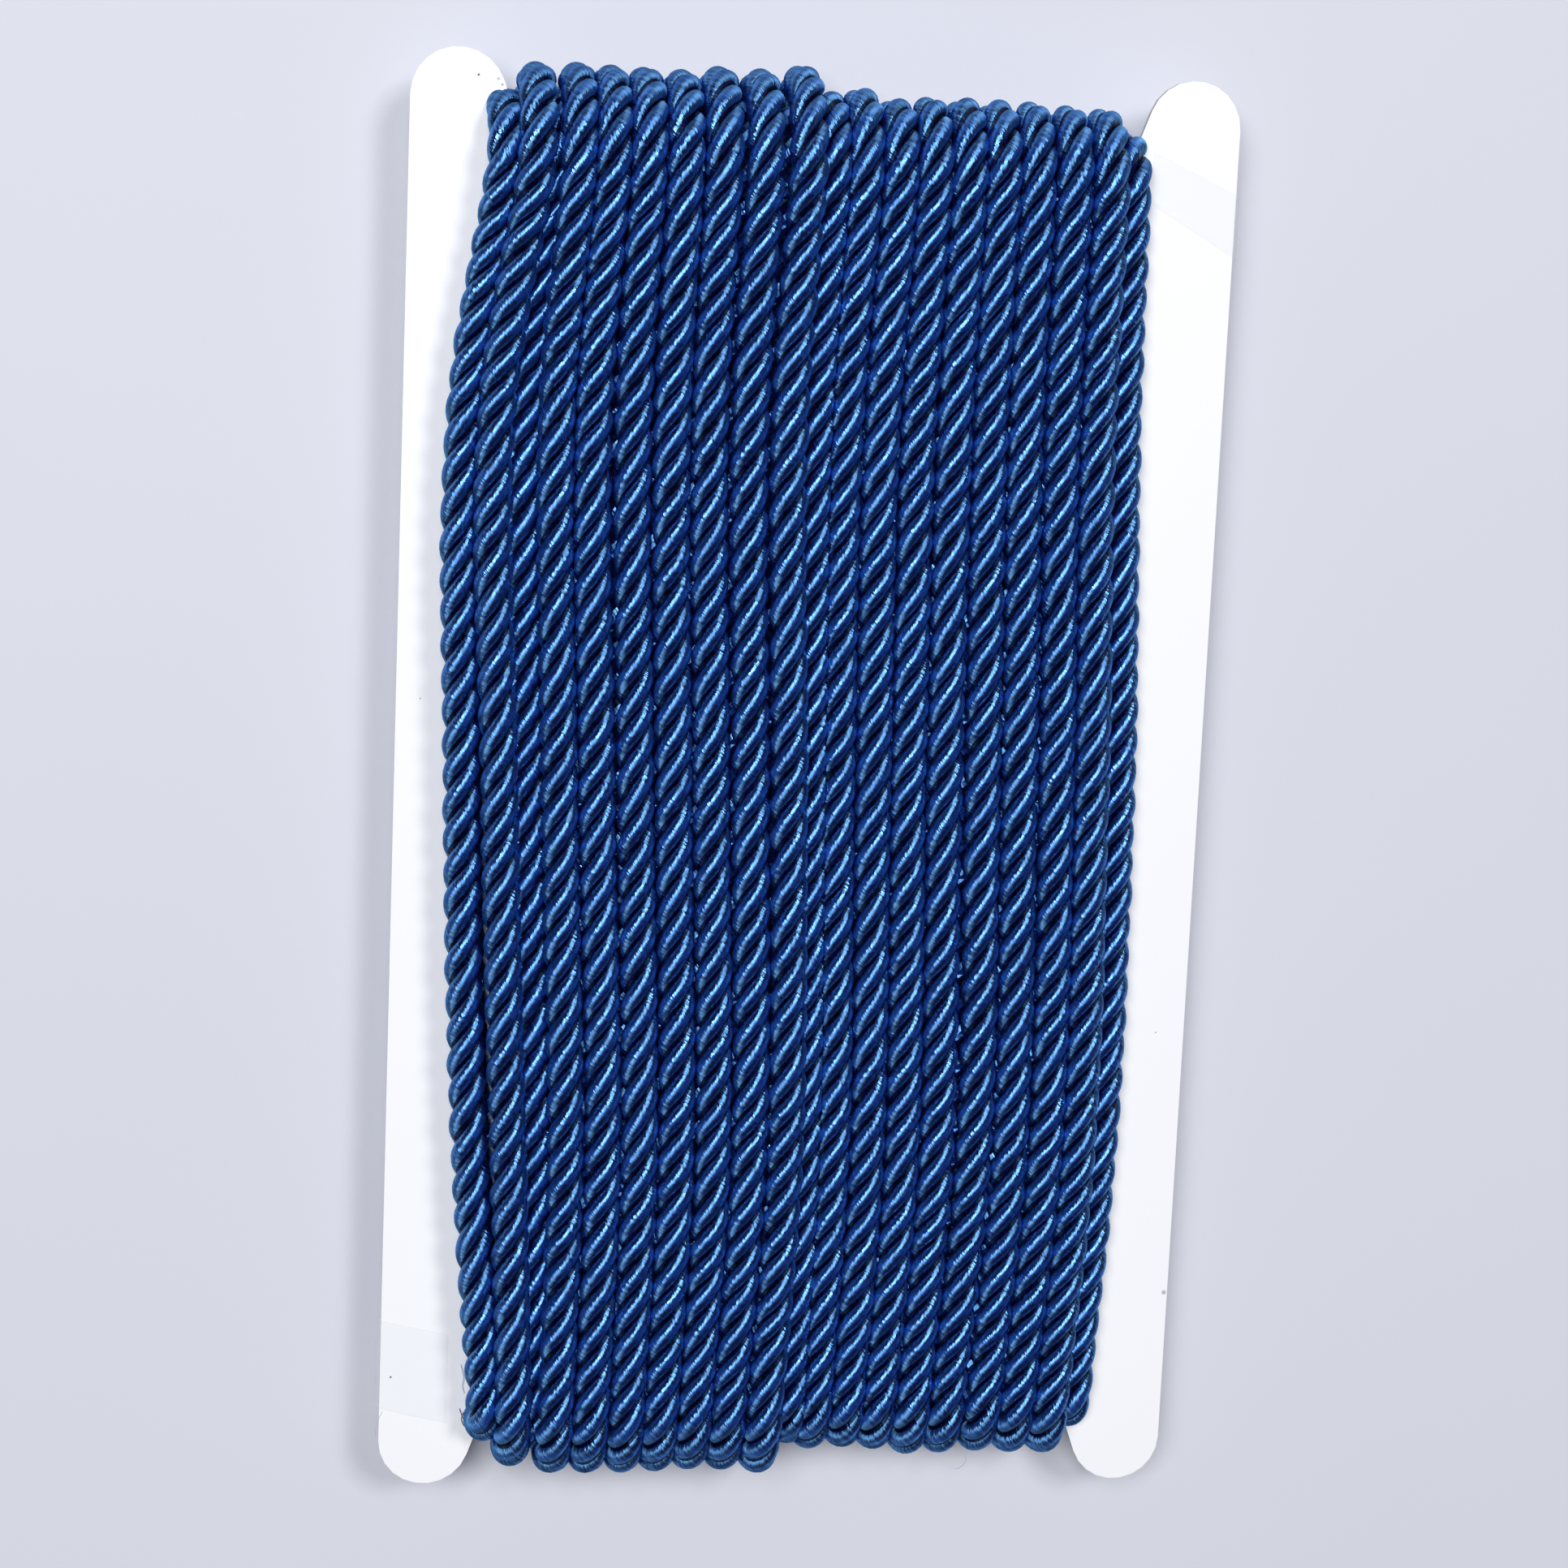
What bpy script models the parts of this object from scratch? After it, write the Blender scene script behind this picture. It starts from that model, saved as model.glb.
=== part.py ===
"""A three-ply twisted cord trim wound lengthwise on a flat white card winder, lying on its back.

Sizes are millimetres, turned into Blender's metres by MM. +X is the photograph's right, +Y its top
and +Z points up from the surface that the winding lies on. The board's middle plane is at z = FACE_HIGH.
"""

import math

import bmesh
import bpy

MM = 0.001

# The board: a rectangle with a notch in each short edge, which leaves four tapered ears.
BOARD_WIDTH = 107.3
BOARD_LENGTH = 190.0
BOARD_THICK = 1.0
NOTCH_DEPTH = 14.0
NOTCH_Y = BOARD_LENGTH / 2 - NOTCH_DEPTH
EAR_ROOT_WIDTH = 15.4
EAR_TIP_RADIUS = 6.1
NOTCH_FILLET = 2.0
ARC_STEPS = 10
WELD_DISTANCE = 0.000001

# The winding. A face's height and an end's reach are measured from the board's middle plane and from
# the notch's edge to the outside of the cord.
FACE_HIGH = 12.5
FACE_LOW = 9.5
RIB_RADIUS = 2.6
BACK_PRESS = 0.35
SAG_LENGTH = 26.0
GAP = 0.3
GROOVE_LIFT_LEAST = 0.2
# The outermost turns' sides go down to a foot beside the board, over one lower layer: how high its
# bulge and the crease above it stand as shares of the rib's centre, how far in from the rib they are,
# and the least each is above the foot.
FOOT_HEIGHT = 2.0
SIDE_CREASE = 0.70
SIDE_BULGE = 0.42
SIDE_CREASE_IN = 1.0
SIDE_BULGE_IN = 0.4
BULGE_OVER_FOOT = 0.4
CREASE_OVER_FOOT = 0.9
CENTRE_OVER_FOOT = 1.4
FACE_STEPS = 8
END_STEPS = 8
RIB_STEPS = 6

# One row for each turn that shows, from left to right: its height on the face, its reach past the upper
# and the lower notch, and its x where it crosses the stations of Y_STATIONS, upper notch to lower notch.
Y_STATIONS = (81.0, 55.0, 3.0, -51.0, -81.0)
TURN_COLUMNS = ("face", "reach_up", "reach_down", "x_up", "x_high", "x_mid", "x_low", "x_down")
TURNS = (
    (10.6, 9.3, 7.2, -41.6, -45.6, -45.2, -42.6, -39.9),
    (FACE_HIGH, 12.7, 10.8, -37.8, -41.8, -40.5, -37.7, -36.2),
    (9.4, 9.6, 8.6, -35.2, -37.9, -36.6, -34.0, -33.4),
    (FACE_HIGH, 12.8, 12.0, -32.6, -34.4, -32.8, -30.4, -30.6),
    (FACE_HIGH, 12.7, 12.1, -28.4, -29.9, -28.0, -25.5, -25.9),
    (FACE_HIGH, 12.6, 12.1, -24.0, -24.9, -23.0, -20.7, -21.1),
    (FACE_HIGH, 12.5, 11.8, -19.4, -20.0, -18.1, -15.9, -16.6),
    (FACE_HIGH, 13.1, 11.7, -14.6, -15.2, -13.2, -11.1, -12.1),
    (FACE_HIGH, 13.0, 11.6, -9.3, -10.1, -8.1, -6.3, -7.6),
    (FACE_HIGH, 13.8, 12.3, -3.9, -5.0, -3.1, -1.6, -2.8),
    (FACE_LOW, 10.6, 8.2, -0.2, -1.0, 0.3, 1.6, 1.2),
    (FACE_LOW, 11.3, 8.9, 3.8, 2.7, 3.6, 5.2, 4.4),
    (FACE_LOW, 10.2, 8.8, 8.4, 7.4, 8.4, 9.8, 8.8),
    (FACE_LOW, 10.6, 9.2, 12.7, 12.1, 13.0, 14.5, 13.1),
    (FACE_LOW, 10.6, 9.8, 17.2, 16.8, 17.8, 19.1, 17.8),
    (FACE_LOW, 10.5, 9.7, 21.6, 21.4, 22.9, 24.2, 22.4),
    (FACE_LOW, 10.5, 9.5, 26.0, 26.0, 27.8, 29.1, 27.5),
    (FACE_LOW, 10.3, 9.7, 30.8, 30.8, 32.8, 33.9, 32.1),
    (FACE_LOW, 10.1, 9.8, 35.6, 35.5, 37.4, 38.3, 36.7),
    (6.6, 7.2, 6.2, 39.0, 39.4, 41.6, 41.9, 40.4),
)

# Clear tape folded round a bar's outer edge. front_in and back_in are how far in from that edge it
# reaches on the front and the back; the rest is the y of its upper and lower long edges on the front,
# at its inner end and at the board's edge.
TAPE_THICK = 0.3
TAPE_COLUMNS = ("side", "front_in", "back_in", "upper_in", "upper_out", "lower_in", "lower_out")
TAPES = {
    "tape_upper_right": (1, 11.3, 8.0, 85.8, 80.5, 79.1, 72.3),
    "tape_lower_left": (-1, 9.0, 8.0, -74.0, -72.0, -86.5, -84.3),
}

# Each finish: colour, roughness and opacity.
BOARD_FINISH = ((0.90, 0.91, 0.94), 0.45, 1.0)
CORD_FINISH = ((0.015, 0.05, 0.22), 0.4, 1.0)
FILM_FINISH = ((0.85, 0.87, 0.92), 0.2, 0.3)


def clear_scene():
    for obj in list(bpy.data.objects):
        bpy.data.objects.remove(obj, do_unlink=True)


def new_collection(name):
    collection = bpy.data.collections.new(name)
    bpy.context.scene.collection.children.link(collection)
    return collection


def new_material(name, finish):
    colour, roughness, opacity = finish
    material = bpy.data.materials.new(name)
    material.use_nodes = True
    shader = material.node_tree.nodes["Principled BSDF"]
    shader.inputs["Base Color"].default_value = (*colour, 1.0)
    shader.inputs["Roughness"].default_value = roughness
    shader.inputs["Alpha"].default_value = opacity
    return material


def mesh_object(name, points, faces, material, collection):
    """A mesh object from points in millimetres, its faces turned to point out."""
    mesh = bpy.data.meshes.new(name)
    shape = bmesh.new()
    corners = [shape.verts.new((x * MM, y * MM, z * MM)) for x, y, z in points]
    for face in faces:
        shape.faces.new([corners[index] for index in face])
    bmesh.ops.recalc_face_normals(shape, faces=shape.faces)
    shape.to_mesh(mesh)
    shape.free()
    mesh.materials.append(material)
    obj = bpy.data.objects.new(name, mesh)
    collection.objects.link(obj)
    return obj


def arc(centre_x, centre_y, radius, start, end):
    """Points from angle start to angle end, in degrees, both kept."""
    points = []
    for step in range(ARC_STEPS + 1):
        angle = math.radians(start + (end - start) * step / ARC_STEPS)
        points.append((centre_x + radius * math.cos(angle), centre_y + radius * math.sin(angle)))
    return points


def ear_outline(grow):
    """The upper right ear and half of the notch beside it, from the right edge to the notch's middle."""
    half_width = BOARD_WIDTH / 2
    tip_x = half_width - EAR_TIP_RADIUS
    tip_y = BOARD_LENGTH / 2 - EAR_TIP_RADIUS
    # The ear's inner side leaves the tip's arc along its tangent and reaches the root at NOTCH_Y.
    root_x = half_width - EAR_ROOT_WIDTH
    away_x, away_y = root_x - tip_x, NOTCH_Y - tip_y
    distance = math.hypot(away_x, away_y)
    tangent = math.degrees(math.atan2(away_y, away_x) - math.acos(EAR_TIP_RADIUS / distance)) % 360
    slope = math.radians(tangent - 90)
    fillet = NOTCH_FILLET - grow
    # The fillet's centre lies its own radius from the inner side and from the notch's edge.
    normal_x, normal_y = math.cos(math.radians(tangent)), math.sin(math.radians(tangent))
    centre_y = NOTCH_Y + NOTCH_FILLET
    along = (NOTCH_FILLET - NOTCH_FILLET * normal_y) / math.sin(slope)
    centre_x = root_x + along * math.cos(slope) + NOTCH_FILLET * normal_x
    points = arc(tip_x, tip_y, EAR_TIP_RADIUS + grow, 0, tangent)
    points += arc(centre_x, centre_y, fillet, tangent - 180, -90)
    return points


def board_outline(grow):
    """The board's outline, anticlockwise, its edge moved out by grow."""
    quarter = ear_outline(grow)
    upper = quarter + [(-x, y) for x, y in reversed(quarter)]
    return upper + [(-x, -y) for x, y in upper]


def board_curve(name, grow, half_thick, material):
    curve = bpy.data.curves.new(name, "CURVE")
    curve.dimensions = "2D"
    curve.fill_mode = "BOTH"
    curve.extrude = half_thick * MM
    spline = curve.splines.new("POLY")
    outline = board_outline(grow)
    spline.points.add(len(outline) - 1)
    for point, (x, y) in zip(spline.points, outline):
        point.co = (x * MM, y * MM, 0.0, 1.0)
    spline.use_cyclic_u = True
    curve.materials.append(material)
    obj = bpy.data.objects.new(name, curve)
    obj.location.z = FACE_HIGH * MM
    return obj


def as_mesh(source, collection):
    """The curve as a mesh object with its caps welded on; the curve is removed."""
    bpy.context.scene.collection.objects.link(source)
    bpy.context.view_layer.update()
    graph = bpy.context.evaluated_depsgraph_get()
    mesh = bpy.data.meshes.new_from_object(source.evaluated_get(graph))
    shape = bmesh.new()
    shape.from_mesh(mesh)
    bmesh.ops.remove_doubles(shape, verts=shape.verts, dist=WELD_DISTANCE)
    bmesh.ops.recalc_face_normals(shape, faces=shape.faces)
    shape.to_mesh(mesh)
    shape.free()
    name = source.name
    place = source.matrix_world.copy()
    bpy.data.objects.remove(source, do_unlink=True)
    obj = bpy.data.objects.new(name, mesh)
    obj.matrix_world = place
    collection.objects.link(obj)
    return obj


def smooth_step(value):
    value = min(max(value, 0.0), 1.0)
    return value * value * (3 - 2 * value)


def spline_at(stations, values, where):
    """A Catmull-Rom curve through values at falling stations."""
    count = len(stations)
    index = 0
    while index < count - 2 and where < stations[index + 1]:
        index += 1
    span = stations[index + 1] - stations[index]
    local = (where - stations[index]) / span
    slopes = []
    for k in (index, index + 1):
        before, after = max(k - 1, 0), min(k + 1, count - 1)
        slopes.append((values[after] - values[before]) / (stations[after] - stations[before]) * span)
    start, end = values[index], values[index + 1]
    square, cube = local**2, local**3
    return (
        start * (2 * cube - 3 * square + 1)
        + end * (3 * square - 2 * cube)
        + slopes[0] * (cube - 2 * square + local)
        + slopes[1] * (cube - square)
    )


def loop_stations():
    """Where the sections stand, once round: down the front, round the lower end, up the back, round the
    upper end. Each is (place, y, angle): the angle turns from the front's normal to the back's."""
    stations = []
    for step in range(FACE_STEPS):
        stations.append(("front", NOTCH_Y * (1 - 2 * step / FACE_STEPS), 0.0))
    for step in range(END_STEPS):
        stations.append(("lower", -NOTCH_Y, math.pi * step / END_STEPS))
    for step in range(FACE_STEPS):
        stations.append(("back", NOTCH_Y * (2 * step / FACE_STEPS - 1), math.pi))
    for step in range(END_STEPS):
        stations.append(("upper", NOTCH_Y, math.pi * (1 - step / END_STEPS)))
    return stations


def turn_at(turn, place, y, angle):
    """A turn's x and the height of its outside at a station, away from the board."""
    row = dict(zip(TURN_COLUMNS, turn))
    if place == "front":
        x_values = [row[name] for name in TURN_COLUMNS[3:]]
        return spline_at(Y_STATIONS, x_values, y), row["face"]
    if place == "back":
        # The slack lower layers sink onto the surface between the ends.
        sunk = smooth_step((NOTCH_Y - abs(y)) / SAG_LENGTH)
        height = row["face"] + (FACE_HIGH + BACK_PRESS - row["face"]) * sunk
        along = (y + NOTCH_Y) / (2 * NOTCH_Y)
        return row["x_down"] + (row["x_up"] - row["x_down"]) * along, height
    x, reach = (row["x_up"], row["reach_up"]) if place == "upper" else (row["x_down"], row["reach_down"])
    height = 1 / math.hypot(math.cos(angle) / row["face"], math.sin(angle) / reach)
    return x, height


def groove_between(left, right):
    """Where two neighbouring ribs cross, as (x, height), from each one's (x, height)."""
    (left_x, left_height), (right_x, right_height) = left, right
    across, rise = right_x - left_x, right_height - left_height
    distance = math.hypot(across, rise)
    lift = math.sqrt(max(RIB_RADIUS**2 - (distance / 2) ** 2, GROOVE_LIFT_LEAST**2))
    x = (left_x + right_x) / 2 - rise / distance * lift
    height = (left_height + right_height) / 2 - RIB_RADIUS + across / distance * lift
    return x, height


def rib_points(turn, start, end):
    """Points over one rib from its left groove to its right one, the last left out."""
    x, height = turn
    centre = height - RIB_RADIUS
    first = math.atan2(start[0] - x, start[1] - centre)
    last = math.atan2(end[0] - x, end[1] - centre)
    points = [start]
    for step in range(1, RIB_STEPS):
        angle = first + (last - first) * step / RIB_STEPS
        points.append((x + RIB_RADIUS * math.sin(angle), centre + RIB_RADIUS * math.cos(angle)))
    return points


def side_points(turn, side):
    """From the foot beside the board up to the outermost rib's widest point; side is -1 or 1."""
    x, height = turn
    edge = x + side * RIB_RADIUS
    centre = height - RIB_RADIUS
    return [
        (edge - side * SIDE_CREASE_IN, FOOT_HEIGHT),
        (edge - side * SIDE_BULGE_IN, max(centre * SIDE_BULGE, FOOT_HEIGHT + BULGE_OVER_FOOT)),
        (edge - side * SIDE_CREASE_IN, max(centre * SIDE_CREASE, FOOT_HEIGHT + CREASE_OVER_FOOT)),
    ]


def section_at(station):
    """The winding's outside across one station, left foot to right foot, as (x, y, z)."""
    place, y, angle = station
    turns = [turn_at(turn, place, y, angle) for turn in TURNS]
    ends = []
    for (x, height), side in ((turns[0], -1), (turns[-1], 1)):
        centre = max(height - RIB_RADIUS, FOOT_HEIGHT + CENTRE_OVER_FOOT)
        ends.append((x + side * RIB_RADIUS, centre))
    grooves = [ends[0]]
    for left, right in zip(turns, turns[1:]):
        grooves.append(groove_between(left, right))
    grooves.append(ends[1])
    across = side_points(turns[0], -1)
    for turn, start, end in zip(turns, grooves, grooves[1:]):
        across += rib_points(turn, start, end)
    across.append(ends[1])
    across += reversed(side_points(turns[-1], 1))
    end_side = 1 if place == "upper" else -1
    points = []
    for x, height in across:
        z = max(height * math.cos(angle), -FACE_HIGH)
        points.append((x, y + end_side * height * math.sin(angle), FACE_HIGH + z))
    return points


def build_winding(material, collection):
    """The wound form: a rib for each turn, lofted once round the board through all the stations."""
    sections = [section_at(station) for station in loop_stations()]
    count, width = len(sections), len(sections[0])
    points = [point for section in sections for point in section]
    faces = []
    for row in range(count):
        after = (row + 1) % count
        for column in range(width - 1):
            here, there = row * width + column, after * width + column
            faces.append((here, here + 1, there + 1, there))
    # Front and back stations at one height face each other, so each side wall closes in pairs of them.
    lowest = FACE_STEPS + END_STEPS // 2
    for column in (0, width - 1):
        for step in range(count // 2):
            near, far = lowest - step, lowest + step
            corners = dict.fromkeys(corner % count for corner in (near, near - 1, far + 1, far))
            faces.append([corner * width + column for corner in corners])
    return mesh_object("winding", points, faces, material, collection)


def build_tape(name, row, material, collection):
    """A film folded round a bar's outer edge, its long edges aslant as it was stuck on."""
    tape = dict(zip(TAPE_COLUMNS, row))
    side, half_width = tape["side"], BOARD_WIDTH / 2
    off = BOARD_THICK / 2 + GAP
    edge = half_width + GAP
    profile = [
        (half_width - tape["front_in"], off),
        (half_width - tape["front_in"] / 2, off),
        (edge, off),
        (edge, -off),
        (half_width - tape["back_in"] / 2, -off),
        (half_width - tape["back_in"], -off),
    ]
    points = []
    travelled = 0.0
    before = profile[0]
    for x, z in profile:
        travelled += math.hypot(x - before[0], z - before[1])
        before = (x, z)
        share = travelled / (tape["front_in"] + GAP)
        upper = tape["upper_in"] + (tape["upper_out"] - tape["upper_in"]) * share
        lower = tape["lower_in"] + (tape["lower_out"] - tape["lower_in"]) * share
        points += [(side * x, upper, FACE_HIGH + z), (side * x, lower, FACE_HIGH + z)]
    faces = [(2 * k, 2 * k + 1, 2 * k + 3, 2 * k + 2) for k in range(len(profile) - 1)]
    obj = mesh_object(name, points, faces, material, collection)
    # The film's thickness goes outwards, away from the board.
    solid = obj.modifiers.new("film", "SOLIDIFY")
    solid.thickness = TAPE_THICK * MM
    solid.offset = 1.0
    solid.use_even_offset = True
    front_normal = obj.data.polygons[0].normal.z
    if front_normal < 0:
        obj.data.flip_normals()
    return obj


def main():
    clear_scene()
    parts = new_collection("twisted_cord_trim")
    cutters = new_collection("cutters")
    board = new_material("white coated board", BOARD_FINISH)
    cord = new_material("navy satin cord", CORD_FINISH)
    film = new_material("clear film", FILM_FINISH)

    parts.objects.link(board_curve("card_winder", 0.0, BOARD_THICK / 2, board))

    winding = build_winding(cord, parts)
    slot = as_mesh(board_curve("board_slot", GAP, BOARD_THICK / 2 + GAP, board), cutters)
    slot.hide_render = True
    slot.display_type = "WIRE"
    cut = winding.modifiers.new("room for the board", "BOOLEAN")
    cut.operation = "DIFFERENCE"
    cut.solver = "EXACT"
    cut.object = slot

    for name, row in TAPES.items():
        build_tape(name, row, film, parts)


main()
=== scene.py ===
"""The looks of a satin twisted cord trim wound on a white card winder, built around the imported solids.

The model's frame is metres, +Z up; sizes below are millimetres, turned into metres by MM.
"""

import math

import bpy
import numpy as np
from mathutils import Matrix, Vector


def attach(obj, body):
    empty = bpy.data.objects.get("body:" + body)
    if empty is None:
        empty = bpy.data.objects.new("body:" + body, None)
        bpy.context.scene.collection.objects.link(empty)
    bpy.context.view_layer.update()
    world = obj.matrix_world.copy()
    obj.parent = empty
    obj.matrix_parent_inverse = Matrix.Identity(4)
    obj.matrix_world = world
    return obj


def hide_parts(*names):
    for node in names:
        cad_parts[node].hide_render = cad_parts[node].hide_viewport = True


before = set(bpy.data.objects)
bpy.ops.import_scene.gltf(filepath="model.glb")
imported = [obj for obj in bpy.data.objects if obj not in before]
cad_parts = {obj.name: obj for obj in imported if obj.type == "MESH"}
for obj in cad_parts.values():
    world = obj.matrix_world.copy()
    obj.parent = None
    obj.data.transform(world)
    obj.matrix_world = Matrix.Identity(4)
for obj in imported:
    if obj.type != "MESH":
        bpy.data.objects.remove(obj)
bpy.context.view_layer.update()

MM = 0.001

# The camera
# It looks down on the card from above its upper left ear, a little turned, through a long lens.
CAMERA_AT = Vector((-64.4, 79.5, 462.5)) * MM
CAMERA_AIM = Vector((-2.4, 1.6, 12.5)) * MM
CAMERA_ROLL = math.radians(2.45)
LENS = 80.1

forward = (CAMERA_AIM - CAMERA_AT).normalized()
level = forward.cross(Vector((0, 1, 0))).normalized()
right = level * math.cos(CAMERA_ROLL) + level.cross(forward) * math.sin(CAMERA_ROLL)
camera = bpy.data.objects.new("camera", bpy.data.cameras.new("camera"))
camera.data.lens = LENS
camera.data.sensor_width = 36.0
camera.data.clip_start = 0.01
camera.matrix_world = Matrix((right, right.cross(forward), -forward)).transposed().to_4x4()
camera.location = CAMERA_AT
bpy.context.scene.collection.objects.link(camera)
bpy.context.scene.camera = camera


# The table and the light
# A pale lilac-grey table top under a soft key light from the upper right and a wide overhead fill,
# as in a small product studio.
TABLE_SIZE = 4.0
bpy.context.scene.view_settings.view_transform = "Standard"


def colour(code):
    """An sRGB hex value as linear red, green, blue and alpha."""
    values = [int(code[k : k + 2], 16) / 255 for k in (0, 2, 4)]
    return [v / 12.92 if v <= 0.04045 else ((v + 0.055) / 1.055) ** 2.4 for v in values] + [1.0]


def add(tree, kind, inputs=None, **settings):
    """Adds a node with its settings, and gives its inputs values or links them to sockets."""
    made = tree.nodes.new(kind)
    for name, value in settings.items():
        setattr(made, name, value)
    for socket, value in (inputs or {}).items():
        if isinstance(value, bpy.types.NodeSocket):
            tree.links.new(value, made.inputs[socket])
        else:
            made.inputs[socket].default_value = value
    return made


def new_material(name):
    """An empty material, its node tree and its output node."""
    material = bpy.data.materials.new(name)
    material.use_nodes = True
    tree = material.node_tree
    tree.nodes.clear()
    return material, tree, tree.nodes.new("ShaderNodeOutputMaterial")


def table_top_material():
    """Matt laminate: even and pale, with a very faint mottle."""
    material, tree, output = new_material("matt laminate")
    place = add(tree, "ShaderNodeTexCoord").outputs["Object"]
    mottle = add(tree, "ShaderNodeTexNoise", {"Vector": place, "Scale": 9.0, "Detail": 3.0})
    tint = add(
        tree,
        "ShaderNodeMix",
        {"Factor": mottle.outputs["Fac"], "A": colour("d5d7e2"), "B": colour("d9dbe6")},
        data_type="RGBA",
    )
    shader = add(
        tree, "ShaderNodeBsdfPrincipled", {"Base Color": tint.outputs["Result"], "Roughness": 0.6}
    )
    tree.links.new(shader.outputs["BSDF"], output.inputs["Surface"])
    return material


def add_light(name, place, size, watts, tint):
    """A square soft light at place, aimed at the middle of the card."""
    lamp = bpy.data.lights.new(name, "AREA")
    lamp.size = size
    lamp.energy = watts
    lamp.color = colour(tint)[:3]
    light = bpy.data.objects.new(name, lamp)
    light.location = place
    light.rotation_euler = (-Vector(place)).to_track_quat("-Z", "Y").to_euler()
    bpy.context.scene.collection.objects.link(light)


bpy.ops.mesh.primitive_plane_add(size=TABLE_SIZE)
table_top = bpy.context.object
table_top.name = "table_top"
table_top.data.materials.append(table_top_material())

add_light("key", (0.6, 0.84, 2.1), 0.5, 18.0, "ffffff")
add_light("fill", (-0.55, 0.6, 2.2), 0.9, 42.0, "ffffff")

world = bpy.data.worlds.new("studio")
world.use_nodes = True
world.node_tree.nodes["Background"].inputs["Color"].default_value = colour("e8ecff")
world.node_tree.nodes["Background"].inputs["Strength"].default_value = 0.02
bpy.context.scene.world = world


# The card winder
# A die-cut board, white-coated on both faces, with a notch in each short edge that holds the turns.
# The solid's own shape is right, so it only gets its soft cut edge and its finish.
BOARD_EDGE_SOFT = 0.12 * MM
BOARD_FACE = "f9fafe"
# The cut edge's grey is painted shade of the sides that turn from the light.
CUT_EDGE_PAINTED_SHADE = "b9b6ba"
# Each speck of the board's stock: x, y, radius and colour.
SPECKS = (
    (-45.1, 91.6, 0.16, "6a6a72"),
    (-42.6, 91.2, 0.22, "c9c9d2"),
    (-42.1, 90.5, 0.18, "b4b4be"),
    (-52.2, -80.0, 0.14, "5a5a62"),
    (53.2, -68.2, 0.3, "c0bcc0"),
    (-50.5, 12.0, 0.1, "9a9aa2"),
    (49.8, -31.5, 0.1, "a0a0a8"),
)


def board_material():
    """Clay-coated board: near white, smooth, with the faint tooth of its fibres, a cut edge painted grey as shade
    of the sides turning from the light, and a few specks."""
    material, tree, output = new_material("clay-coated board")
    coordinates = add(tree, "ShaderNodeTexCoord")
    place = coordinates.outputs["Object"]
    fibre = add(tree, "ShaderNodeTexNoise", {"Vector": place, "Scale": 900.0, "Detail": 4.0})
    bump = add(
        tree,
        "ShaderNodeBump",
        {"Height": fibre.outputs["Fac"], "Strength": 0.15, "Distance": 0.05 * MM},
    )
    # Faces that turn sideways, the cut edge and its soft bevel, get the painted shade of grey.
    facing = add(tree, "ShaderNodeSeparateXYZ", {"Vector": coordinates.outputs["Normal"]}).outputs["Z"]
    level = add(tree, "ShaderNodeMath", {0: facing}, operation="ABSOLUTE").outputs[0]
    on_face = add(tree, "ShaderNodeMath", {0: level, 1: 0.6}, operation="GREATER_THAN").outputs[0]
    tint = add(
        tree,
        "ShaderNodeMix",
        {"Factor": on_face, "A": colour(CUT_EDGE_PAINTED_SHADE), "B": colour(BOARD_FACE)},
        data_type="RGBA",
    ).outputs["Result"]
    for x, y, radius, code in SPECKS:
        flat = add(tree, "ShaderNodeVectorMath", {0: place, 1: (1, 1, 0)}, operation="MULTIPLY")
        away = add(
            tree,
            "ShaderNodeVectorMath",
            {0: flat.outputs["Vector"], 1: (x * MM, y * MM, 0)},
            operation="DISTANCE",
        ).outputs["Value"]
        inside = add(tree, "ShaderNodeMath", {0: away, 1: radius * MM}, operation="LESS_THAN").outputs[0]
        tint = add(
            tree, "ShaderNodeMix", {"Factor": inside, "A": tint, "B": colour(code)}, data_type="RGBA"
        ).outputs["Result"]
    shader = add(
        tree,
        "ShaderNodeBsdfPrincipled",
        {"Base Color": tint, "Roughness": 0.42, "IOR": 1.5, "Normal": bump.outputs["Normal"]},
    )
    tree.links.new(shader.outputs["BSDF"], output.inputs["Surface"])
    return material


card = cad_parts["card_winder"]
card.data.materials.clear()
card.data.materials.append(board_material())
soft_edge = card.modifiers.new("soft edge", "BEVEL")
soft_edge.width = BOARD_EDGE_SOFT
soft_edge.segments = 2
soft_edge.limit_method = "ANGLE"
soft_edge.angle_limit = math.radians(60)


# The wound cord
# One satin trim of three plies laid together, each ply wrapped in bright rayon thread. It is wound
# lengthwise round the card from one tape to the other, and its lower layers show through the gaps.
CORD_RADIUS = 2.5
PLY_COUNT = 3
LAY_PITCH = 12.6
CREASE_DEPTH = 0.40
CREASE_POWER = 2.3
# The share of each ply, at either edge, that takes the shaded copy of the satin as painted shade in the crease.
CREASE_SHADE_SHARE = 0.1
THREAD_SKEW = 2.6
FACE_HIGH = 12.5
FACE_LOW = 9.5
NOTCH_Y = 81.0
BACK_PRESS = 0.3
SAG_LENGTH = 26.0
Y_STATIONS = (81.0, 55.0, 3.0, -51.0, -81.0)
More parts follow.
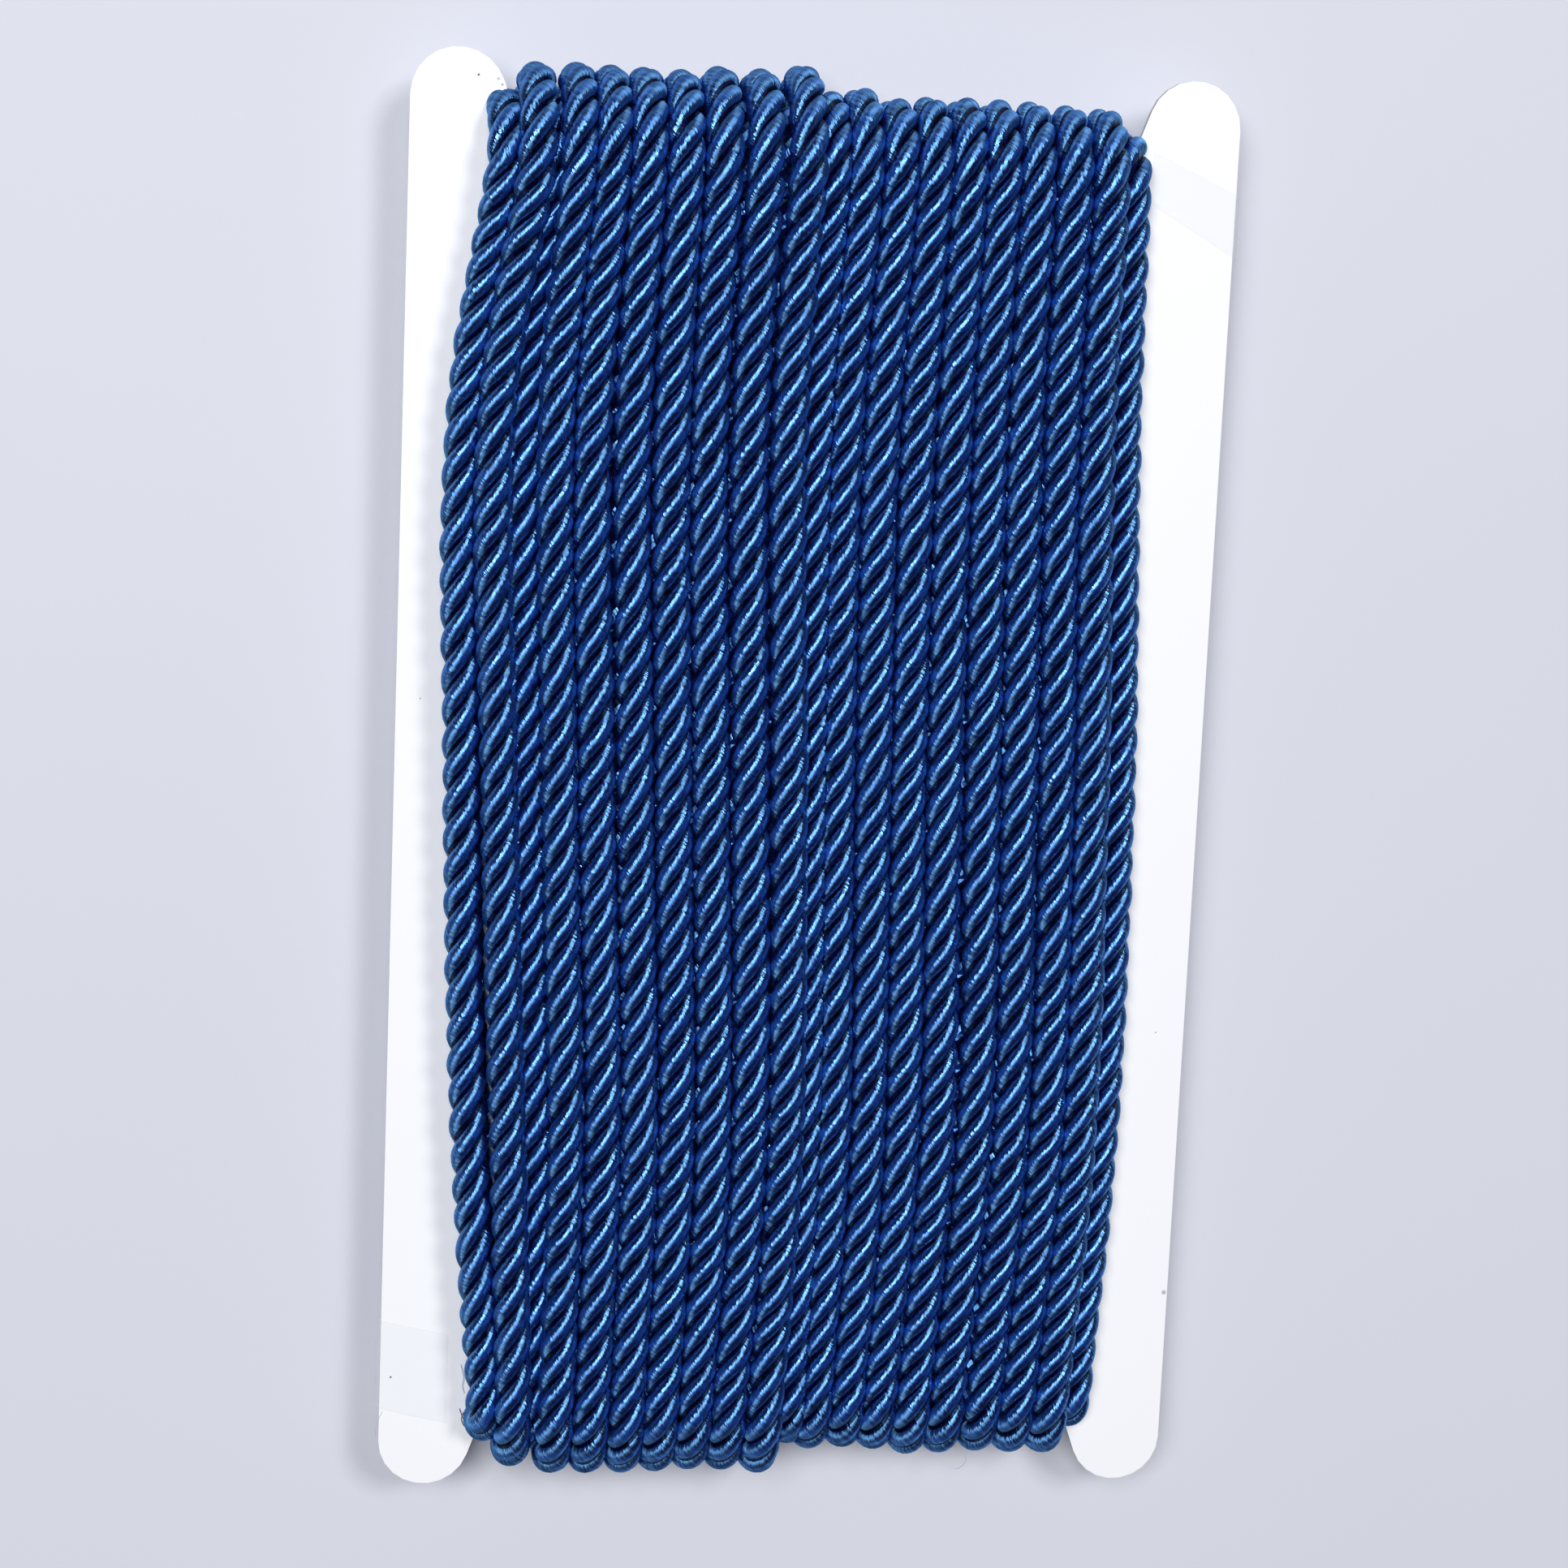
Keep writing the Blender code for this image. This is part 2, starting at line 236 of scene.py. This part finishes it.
# As in the solid: height on the face, reach past the upper and lower notch, x at the stations.
TURNS = np.array(
    (
        (10.6, 9.3, 7.2, -41.6, -45.6, -45.2, -42.6, -39.9),
        (FACE_HIGH, 12.7, 10.8, -37.8, -41.8, -40.5, -37.7, -36.2),
        (9.4, 9.6, 8.6, -35.2, -37.9, -36.6, -34.0, -33.4),
        (FACE_HIGH, 12.8, 12.0, -32.6, -34.4, -32.8, -30.4, -30.6),
        (FACE_HIGH, 12.7, 12.1, -28.4, -29.9, -28.0, -25.5, -25.9),
        (FACE_HIGH, 12.6, 12.1, -24.0, -24.9, -23.0, -20.7, -21.1),
        (FACE_HIGH, 12.5, 11.8, -19.4, -20.0, -18.1, -15.9, -16.6),
        (FACE_HIGH, 13.1, 11.7, -14.6, -15.2, -13.2, -11.1, -12.1),
        (FACE_HIGH, 13.0, 11.6, -9.3, -10.1, -8.1, -6.3, -7.6),
        (FACE_HIGH, 13.8, 12.3, -3.9, -5.0, -3.1, -1.6, -2.8),
        (FACE_LOW, 10.6, 8.2, -0.2, -1.0, 0.3, 1.6, 1.2),
        (FACE_LOW, 11.3, 8.9, 3.8, 2.7, 3.6, 5.2, 4.4),
        (FACE_LOW, 10.2, 8.8, 8.4, 7.4, 8.4, 9.8, 8.8),
        (FACE_LOW, 10.6, 9.2, 12.7, 12.1, 13.0, 14.5, 13.1),
        (FACE_LOW, 10.6, 9.8, 17.2, 16.8, 17.8, 19.1, 17.8),
        (FACE_LOW, 10.5, 9.7, 21.6, 21.4, 22.9, 24.2, 22.4),
        (FACE_LOW, 10.5, 9.5, 26.0, 26.0, 27.8, 29.1, 27.5),
        (FACE_LOW, 10.3, 9.7, 30.8, 30.8, 32.8, 33.9, 32.1),
        (FACE_LOW, 10.1, 9.8, 35.6, 35.5, 37.4, 38.3, 36.7),
        (6.6, 7.2, 6.2, 39.0, 39.4, 41.6, 41.9, 40.4),
    )
)
HELD_UP = (2, 19)
# The cord's two ends lie against the board's back, under the tapes.
TAPED_FACE = 5.6
TAPED_START_X = -49.6
TAPED_END_X = 49.2
FAR_AWAY = 1000.0
CORD_PIECES = 4
FRONT_RINGS = 200
END_RINGS = 38
BACK_RINGS = 130
random = np.random.default_rng(7)


def stations_curve(values, y):
    """A smooth curve through one turn's x at the stations, read at each y."""
    stations = np.array(Y_STATIONS)
    slopes = np.gradient(values, stations)
    index = np.clip(np.searchsorted(-stations, -y) - 1, 0, len(stations) - 2)
    span = stations[index + 1] - stations[index]
    t = (y - stations[index]) / span
    start, end = values[index], values[index + 1]
    return (
        start * (2 * t**3 - 3 * t**2 + 1)
        + end * (3 * t**2 - 2 * t**3)
        + slopes[index] * span * (t**3 - 2 * t**2 + t)
        + slopes[index + 1] * span * (t**3 - t**2)
    )


def smooth_step(value):
    value = np.clip(value, 0, 1)
    return value * value * (3 - 2 * value)


def wander(travelled, cell):
    """A smooth random value from -1 to 1 that changes over about one cell of the cord's length."""
    where = (travelled - travelled[0]) / cell
    knots = random.uniform(-1, 1, int(where[-1]) + 3)
    index = where.astype(int)
    part = smooth_step(where - index)
    return knots[index] * (1 - part) + knots[index + 1] * part


def front_run(turn):
    """Centre line down the front: x, y and z above the board's middle plane."""
    y = NOTCH_Y - 2 * NOTCH_Y * np.arange(FRONT_RINGS) / FRONT_RINGS
    return np.stack((stations_curve(turn[3:], y), y, np.full_like(y, turn[0] - CORD_RADIUS)), 1)


def end_run(turn, upper):
    """Centre line round one notch, in the direction of winding."""
    angle = math.pi * np.arange(END_RINGS) / END_RINGS
    if upper:
        angle = math.pi - angle
    reach = (turn[1] if upper else turn[2]) - CORD_RADIUS
    side = 1 if upper else -1
    return np.stack(
        (
            np.full_like(angle, turn[3] if upper else turn[7]),
            side * (NOTCH_Y + reach * np.sin(angle)),
            (turn[0] - CORD_RADIUS) * np.cos(angle),
        ),
        1,
    )


def back_run(before, after, held_up):
    """Centre line up the back, from the lower end of one turn to the upper end of the next. The slack
    runs sink onto the table between the ends."""
    part = np.arange(BACK_RINGS) / BACK_RINGS
    y = NOTCH_Y * (2 * part - 1)
    own = before[0] + (after[0] - before[0]) * part
    sunk = smooth_step((NOTCH_Y - np.abs(y)) / SAG_LENGTH)
    lowest = own if held_up else np.full_like(own, FACE_HIGH + BACK_PRESS)
    depth = own + (lowest - own) * sunk - CORD_RADIUS
    return np.stack((before[7] + (after[3] - before[7]) * part, y, -depth), 1)


def turn_line(turn, after, held_up):
    """Centre line of one turn: round the upper end, down the front, round the lower end and up the back
    to where the turn after it begins."""
    runs = (end_run(turn, True), front_run(turn), end_run(turn, False), back_run(turn, after, held_up))
    return np.concatenate(runs)


def eased(line, width):
    """The line with its x smoothed along its length, so that runs flow into each other."""
    kernel = np.hanning(2 * width + 3)[1:-1]
    padded = np.pad(line[:, 0], width, mode="edge")
    line = line.copy()
    line[:, 0] = np.convolve(padded, kernel / kernel.sum(), "valid")
    return line


def ply_profile(points_a_ply):
    """Points round the cord at a radius of 1: the ply each is on, its place across the ply from 0 to 1,
    and its angle and radius. A ply is a rounded lobe, and the lobes meet in a crease."""
    rows = []
    for ply in range(PLY_COUNT):
        for k in range(points_a_ply):
            off = 2 * k / points_a_ply - 1
            radius = 1 - CREASE_DEPTH * abs(off) ** CREASE_POWER
            rows.append((ply, k / points_a_ply, off * math.pi / PLY_COUNT, radius))
    return np.array(rows)


def cord_rings(line, neighbours, profile):
    """Rings of points of twisted cord along line, pressed flat where they meet the neighbours' centre
    lines and the table, and each ring's distance along the cord."""
    tangent = np.gradient(line, axis=0)
    tangent /= np.linalg.norm(tangent, axis=1)[:, None]
    travelled = np.concatenate(((0,), np.cumsum(np.linalg.norm(np.diff(line, axis=0), axis=1))))
    side = np.array((1.0, 0, 0)) - tangent * tangent[:, :1]
    side /= np.linalg.norm(side, axis=1)[:, None]
    out = np.cross(tangent, side)
    # The lay is a little uneven, and so are the plies.
    twist = -2 * math.pi * (travelled / LAY_PITCH + random.uniform())
    twist += 0.16 * wander(travelled, 9.0) + 0.5 * wander(travelled, 70.0)
    angle = np.tile(profile[:, 2], (len(line), 1))
    reach = np.tile(profile[:, 3], (len(line), 1)) * CORD_RADIUS
    for ply in range(PLY_COUNT):
        mine = profile[:, 0] == ply
        angle[:, mine] += 2 * math.pi * ply / PLY_COUNT + 0.09 * wander(travelled, 7.0)[:, None]
        reach[:, mine] *= 1 + 0.03 * wander(travelled, 5.0)[:, None]
    angle += twist[:, None]
    offset = (reach * np.sin(angle))[..., None] * side[:, None]
    offset += (reach * np.cos(angle))[..., None] * out[:, None]
    for neighbour in neighbours:
        away = neighbour - line
        away -= tangent * (away * tangent).sum(1)[:, None]
        distance = np.linalg.norm(away, axis=1)
        away /= np.maximum(distance, 0.01)[:, None]
        over = (offset * away[:, None]).sum(2) - distance[:, None] / 2
        offset -= np.maximum(over, 0)[..., None] * away[:, None]
    points = line[:, None] + offset
    points[..., 2] = np.maximum(points[..., 2], 0)
    return points, travelled


def cord_piece(name, points, travelled, profile):
    """A closed mesh of one length of cord, from its rings."""
    rings, count = points.shape[:2]
    ring, at = np.meshgrid(np.arange(rings - 1), np.arange(count), indexing="ij")
    after = (at + 1) % count
    corners = (ring * count + at, ring * count + after, (ring + 1) * count + after, (ring + 1) * count + at)
    faces = np.stack(corners, -1).reshape(-1, 4).tolist()
    caps = [list(range(count - 1, -1, -1)), list(range((rings - 1) * count, rings * count))]
    mesh = bpy.data.meshes.new(name)
    mesh.from_pydata((points.reshape(-1, 3) * MM).tolist(), [], faces + caps)
    # The strand map: the place across the ply, and centimetres along the cord less a skew that sets
    # the threads square to their ply.
    start = profile[at, 1]
    end = start + 1 / (count / PLY_COUNT)
    across = np.stack((start, end, end, start), -1)
    along = travelled[np.stack((ring, ring, ring + 1, ring + 1), -1)] - THREAD_SKEW * across
    across = across + 2 * profile[at, 0][..., None]
    strand = np.stack((along / 10, across), -1).reshape(-1)
    layer = mesh.uv_layers.new(name="strand")
    layer.uv.foreach_set("vector", np.concatenate((strand, np.zeros(4 * count))).astype(np.float32))
    mesh.shade_smooth()
    mesh.set_sharp_from_angle(angle=math.radians(40))
    for material in SATINS:
        mesh.materials.append(material)
    # Faces near a crease take the shaded copy of the satin, with little sheen: painted shade.
    crease_shade_faces = (start < CREASE_SHADE_SHARE - 0.01) | (start > 0.99 - CREASE_SHADE_SHARE)
    mesh.polygons.foreach_set("material_index", np.concatenate((crease_shade_faces.ravel(), (1, 1))).astype(np.int32))
    piece = bpy.data.objects.new(name, mesh)
    bpy.context.scene.collection.objects.link(piece)
    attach(piece, "root")
    return piece


def satin_material(name, index_of_refraction):
    """Rayon satin thread wound round each ply: deep navy, with a bright streak along the crown of the ply where
    the threads turn over. Its base colour has a painted sheen on the crown, painted shade in faint dark lines
    between the threads, and near black painted shade where the plies meet."""
    material, tree, output = new_material(name)
    strand = add(tree, "ShaderNodeUVMap", uv_map="strand").outputs["UV"]
    parts = add(tree, "ShaderNodeSeparateXYZ", {"Vector": strand})
    across = add(tree, "ShaderNodeMath", {0: parts.outputs["Y"]}, operation="FRACT").outputs[0]
    off_middle = add(tree, "ShaderNodeMath", {0: across, 1: 0.5}, operation="SUBTRACT").outputs[0]
    away = add(tree, "ShaderNodeMath", {0: off_middle}, operation="ABSOLUTE").outputs[0]
    # One thread of the wrapping is about 0.35 mm wide, and no two catch the light alike. Patches a few
    # millimetres long are slacker than others.
    stretched = add(
        tree, "ShaderNodeVectorMath", {0: strand, 1: (30.0, 0.6, 1.0)}, operation="MULTIPLY"
    ).outputs["Vector"]
    threads = add(tree, "ShaderNodeTexNoise", {"Vector": stretched, "Scale": 1.0, "Detail": 2.0})
    patches = add(tree, "ShaderNodeTexNoise", {"Vector": strand, "Scale": 3.0, "Detail": 1.0})
    slack = add(
        tree, "ShaderNodeMath", {0: threads.outputs["Fac"], 1: patches.outputs["Fac"]}, operation="ADD"
    ).outputs[0]
    dullness = add(
        tree,
        "ShaderNodeMapRange",
        {"Value": slack, "From Min": 0.7, "From Max": 1.3, "To Min": 0.22, "To Max": 0.58},
    )
    # The threads' tones are shifted across the ply from one to the next, which frays their edges.
    shift = add(
        tree,
        "ShaderNodeMapRange",
        {"Value": threads.outputs["Fac"], "From Min": 0.3, "From Max": 0.7, "To Min": -FRAYING, "To Max": FRAYING},
    ).outputs["Result"]
    frayed = add(tree, "ShaderNodeMath", {0: away, 1: shift}, operation="ADD").outputs[0]
    # This ramp paints the crown's sheen and the shade between the threads and in the crease.
    depth = add(tree, "ShaderNodeValToRGB", {"Fac": frayed})
    stops = depth.color_ramp.elements
    stops[0].position, stops[0].color = PLY_SHEEN_AND_SHADE_TONES[0][0], colour(PLY_SHEEN_AND_SHADE_TONES[0][1])
    stops[1].position, stops[1].color = PLY_SHEEN_AND_SHADE_TONES[-1][0], colour(PLY_SHEEN_AND_SHADE_TONES[-1][1])
    for position, code in PLY_SHEEN_AND_SHADE_TONES[1:-1]:
        stop = stops.new(position)
        stop.color = colour(code)
    bump = add(
        tree,
        "ShaderNodeBump",
        {"Height": threads.outputs["Fac"], "Strength": 1.0, "Distance": 0.3 * MM},
    )
    tangent = add(tree, "ShaderNodeTangent", direction_type="UV_MAP", uv_map="strand")
    shader = add(
        tree,
        "ShaderNodeBsdfPrincipled",
        {
            "Base Color": depth.outputs["Color"],
            "Roughness": dullness.outputs["Result"],
            "IOR": index_of_refraction,
            "Specular Tint": colour("78bcff"),
            "Anisotropic": 0.95,
            "Anisotropic Rotation": 12 / 360,
            "Normal": bump.outputs["Normal"],
            "Tangent": tangent.outputs["Tangent"],
        },
    )
    tree.links.new(shader.outputs["BSDF"], output.inputs["Surface"])
    return material


# Tones from a ply's crown, at 0, to the crease beside it, at 0.5: a painted sheen lightens the crown, and painted
# shade draws faint dark lines between the threads and turns the crease near black.
PLY_SHEEN_AND_SHADE_TONES = (
    (0.0, "1c3f9c"), (0.07, "163288"), (0.15, "141058"), (0.19, "110b4c"), (0.22, "06042a"),
    (0.27, "161050"), (0.31, "110b48"), (0.345, "040222"), (0.39, "120c46"), (0.44, "060326"),
    (0.5, "000004"),
)
FRAYING = 0.1
# The crown's sheen is stronger than plain rayon's, because its threads lie in line like a mirror's grain. The
# second is a shaded copy with little sheen, put on the crease faces as painted shade.
SATINS = (satin_material("wrapped rayon satin", 6.0), satin_material("satin dulled as crease shade", 1.5))

first_row, last_row = TURNS[0].copy(), TURNS[-1].copy()
first_row[0], first_row[7] = TAPED_FACE, TAPED_START_X
last_row[0], last_row[3] = TAPED_FACE, TAPED_END_X
afters = np.vstack((TURNS[1:], last_row))
turn_lines = [turn_line(turn, after, k in HELD_UP) for k, (turn, after) in enumerate(zip(TURNS, afters))]
lead = back_run(first_row, TURNS[0], True)
whole = eased(np.concatenate([lead] + turn_lines), 10) + (0, 0, FACE_HIGH)
turn_rings = len(turn_lines[0])
left = whole + FAR_AWAY
left[len(lead) + turn_rings :] = whole[len(lead) : -turn_rings]
right = whole + FAR_AWAY
right[len(lead) : -turn_rings] = whole[len(lead) + turn_rings :]
fine_profile = ply_profile(10)
ring_points, ring_travel = cord_rings(whole, (left, right), fine_profile)
turns_a_piece = len(TURNS) // CORD_PIECES
cuts = [0] + [len(lead) + turn_rings * turns_a_piece * k for k in range(1, CORD_PIECES)] + [len(whole) - 1]
for part, (start, stop) in enumerate(zip(cuts, cuts[1:])):
    # Each piece ends on the ring that the next begins with.
    share = slice(start, stop + 1)
    piece = cord_piece(f"cord_part_{part + 1}", ring_points[share], ring_travel[share], fine_profile)
    if part == 0:
        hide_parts("winding")


# The layers under the turns that show
# The same cord, as plain closed loops nested in the grooves between the upper turns.
UNDER_DROP = 3.9
UNDER_EDGE = (5.8, 5.6, 5.2)


def under_rows():
    """The rows of the hidden loops: one between each two neighbours of the same layer, and two at the
    left edge, where the lower layers show from the side."""
    rows = []
    for a, b in zip(TURNS, TURNS[1:]):
        if a[0] == b[0]:
            row = (a + b) / 2
            row[:3] -= UNDER_DROP
            rows.append(row)
    edge = TURNS[0].copy()
    edge[:3] = UNDER_EDGE
    edge[3:] += 0.8
    second = TURNS[1].copy()
    second[:3] -= UNDER_DROP
    second[3:] += 1.2
    return rows + [edge, second]


coarse_profile = ply_profile(5)
for k, row in enumerate(under_rows()):
    loop = turn_line(row, row, False)[::2] + (0, 0, FACE_HIGH)
    loop = np.concatenate((loop, loop[:1]))
    loop_points, loop_travel = cord_rings(loop, (), coarse_profile)
    cord_piece(f"under_layer_{k + 1}", loop_points, loop_travel, coarse_profile)


# The clear tapes
# Two strips of clear film, each folded round a bar and stuck down over one end of the cord at the back.
BOARD_HALF_WIDTH = 53.65
BOARD_HALF_THICK = 0.5
FILM_THICK = 0.07
FILM_LIFT = 0.06
CORD_BULGE = 5.35
# As in the solids: side, reach in on the front and the back, and y of the long edges on the front at
# the inner end and at the board's edge.
FILMS = {
    "tape_upper_right": (1, 11.3, 8.0, 85.8, 80.5, 79.1, 72.3),
    "tape_lower_left": (-1, 9.0, 8.0, -74.0, -72.0, -86.5, -84.3),
}


def film_material():
    """Clear polypropylene film: all but invisible, slightly grey, with a gloss."""
    material, tree, output = new_material("clear film")
    shader = add(
        tree,
        "ShaderNodeBsdfPrincipled",
        {"Base Color": colour("e6e8f4"), "Roughness": 0.15, "IOR": 1.49, "Alpha": 0.045},
    )
    tree.links.new(shader.outputs["BSDF"], output.inputs["Surface"])
    return material


def film_piece(name, row, material):
    """One film: a grid from its inner end on the front, round the board's edge, to its end on the back,
    with low wrinkles on the front and raised over the cord's end at the back."""
    side, front_in, back_in, upper_in, upper_out, lower_in, lower_out = row
    off = BOARD_HALF_THICK + FILM_LIFT
    track = [(front_in - s, off, s) for s in np.linspace(0, front_in, 24)]
    for angle in np.linspace(0, math.pi, 7)[1:-1]:
        track.append((-off * math.sin(angle), off * math.cos(angle), front_in + angle * off))
    for s in np.linspace(0, back_in, 16):
        bulge = CORD_BULGE * math.sqrt(1 - abs(2 * s / back_in - 1) ** 2.5)
        track.append((s, -off - bulge, front_in + math.pi * off + s))
    across = np.linspace(0, 1, 25)
    points = []
    for inwards, z, s in track:
        share = s / (front_in + off)
        upper = upper_in + (upper_out - upper_in) * share
        lower = lower_in + (lower_out - lower_in) * share
        wrinkle = 0.0
        if z == off:
            ridge = np.sin(across * 23 + 0.5 * s + 1.3 * np.sin(0.9 * s + 4 * across)) ** 8
            near_edge = np.exp(-(((across - 0.93) / 0.06) ** 2)) + 0.4 * np.exp(-((s / 3) ** 2))
            wrinkle = 0.3 * ridge * np.minimum(near_edge + 0.12, 1) * min(s / 2, (front_in - s) / 2, 1)
        x = np.full_like(across, side * (BOARD_HALF_WIDTH - inwards))
        points.append(np.stack((x, upper + (lower - upper) * across, FACE_HIGH + z + wrinkle + x * 0), 1))
    width = len(across)
    faces = []
    for row_at in range(len(track) - 1):
        for column in range(width - 1):
            here = row_at * width + column
            face = (here, here + width, here + width + 1, here + 1)
            faces.append(face if side < 0 else face[::-1])
    mesh = bpy.data.meshes.new(name)
    mesh.from_pydata((np.concatenate(points) * MM).tolist(), [], faces)
    mesh.shade_smooth()
    mesh.materials.append(material)
    piece = bpy.data.objects.new(f"film_{name[5:]}", mesh)
    bpy.context.scene.collection.objects.link(piece)
    solid = piece.modifiers.new("film", "SOLIDIFY")
    solid.thickness = FILM_THICK * MM
    solid.offset = 1.0
    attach(piece, "root")
    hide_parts(name)


film = film_material()
for name, row in FILMS.items():
    film_piece(name, row, film)


# Loose fibres
# A few stray filaments of the cord and of the tape's cut end, as the photograph shows them.
FIBRE_RADIUS = 0.05
# Each: whether it is pale, and the points that it follows.
FIBRES = (
    (True, ((-53.2, -84.8, 13.1), (-53.8, -86.2, 13.0), (-54.1, -87.6, 12.7), (-54.0, -88.6, 12.2))),
    (True, ((-42.9, -78.2, 13.3), (-42.5, -79.8, 13.6), (-42.6, -81.2, 13.4), (-42.3, -82.2, 13.2))),
    (False, ((-42.9, -84.4, 13.2), (-42.4, -85.6, 13.8), (-41.8, -86.6, 13.3), (-41.2, -87.4, 13.2))),
    (False, ((-42.3, -84.9, 13.1), (-42.6, -86.0, 13.2), (-41.9, -86.9, 14.0), (-40.8, -86.7, 14.3))),
    (False, ((-33.5, -85.4, 16.9), (-33.3, -86.6, 17.5), (-32.9, -87.6, 17.2), (-32.2, -88.3, 16.4))),
    (False, ((-34.3, -85.8, 16.6), (-34.5, -87.0, 17.0), (-34.1, -88.0, 16.4), (-33.6, -88.4, 15.6))),
    (True, ((25.6, -89.2, 17.0), (26.1, -91.0, 16.4), (25.3, -92.6, 15.2), (24.2, -92.6, 14.6))),
    (False, ((-39.8, 88.2, 15.5), (-40.6, 89.0, 16.4), (-41.6, 88.8, 16.8), (-42.2, 87.8, 16.2))),
)


def plain_material(name, code, roughness):
    """One even colour and finish."""
    material, tree, output = new_material(name)
    shader = add(tree, "ShaderNodeBsdfPrincipled", {"Base Color": colour(code), "Roughness": roughness})
    tree.links.new(shader.outputs["BSDF"], output.inputs["Surface"])
    return material


def smooth_path(knots, steps):
    """A Catmull-Rom curve through the knots."""
    knots = np.array(knots)
    padded = np.concatenate((knots[:1], knots, knots[-1:]))
    rows = []
    for a, b, c, d in zip(padded, padded[1:], padded[2:], padded[3:]):
        for t in np.arange(steps) / steps:
            rows.append(0.5 * (2 * b + (c - a) * t + (2 * a - 5 * b + 4 * c - d) * t**2 + (3 * b - a - 3 * c + d) * t**3))
    return np.array(rows + [knots[-1]])


pale_fibre = plain_material("pale filament", "c9d6f2", 0.4)
navy_fibre = plain_material("navy filament", "101a52", 0.4)
for k, (pale, knots) in enumerate(FIBRES):
    curve = bpy.data.curves.new(f"fibre_{k + 1}", "CURVE")
    curve.dimensions = "3D"
    curve.bevel_depth = FIBRE_RADIUS * MM
    curve.bevel_resolution = 1
    curve.use_fill_caps = True
    path = smooth_path(knots, 5)
    spline = curve.splines.new("POLY")
    spline.points.add(len(path) - 1)
    for point, place in zip(spline.points, path * MM):
        point.co = (*place, 1.0)
    curve.materials.append(pale_fibre if pale else navy_fibre)
    fibre = bpy.data.objects.new(f"fibre_{k + 1}", curve)
    bpy.context.scene.collection.objects.link(fibre)
    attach(fibre, "root")
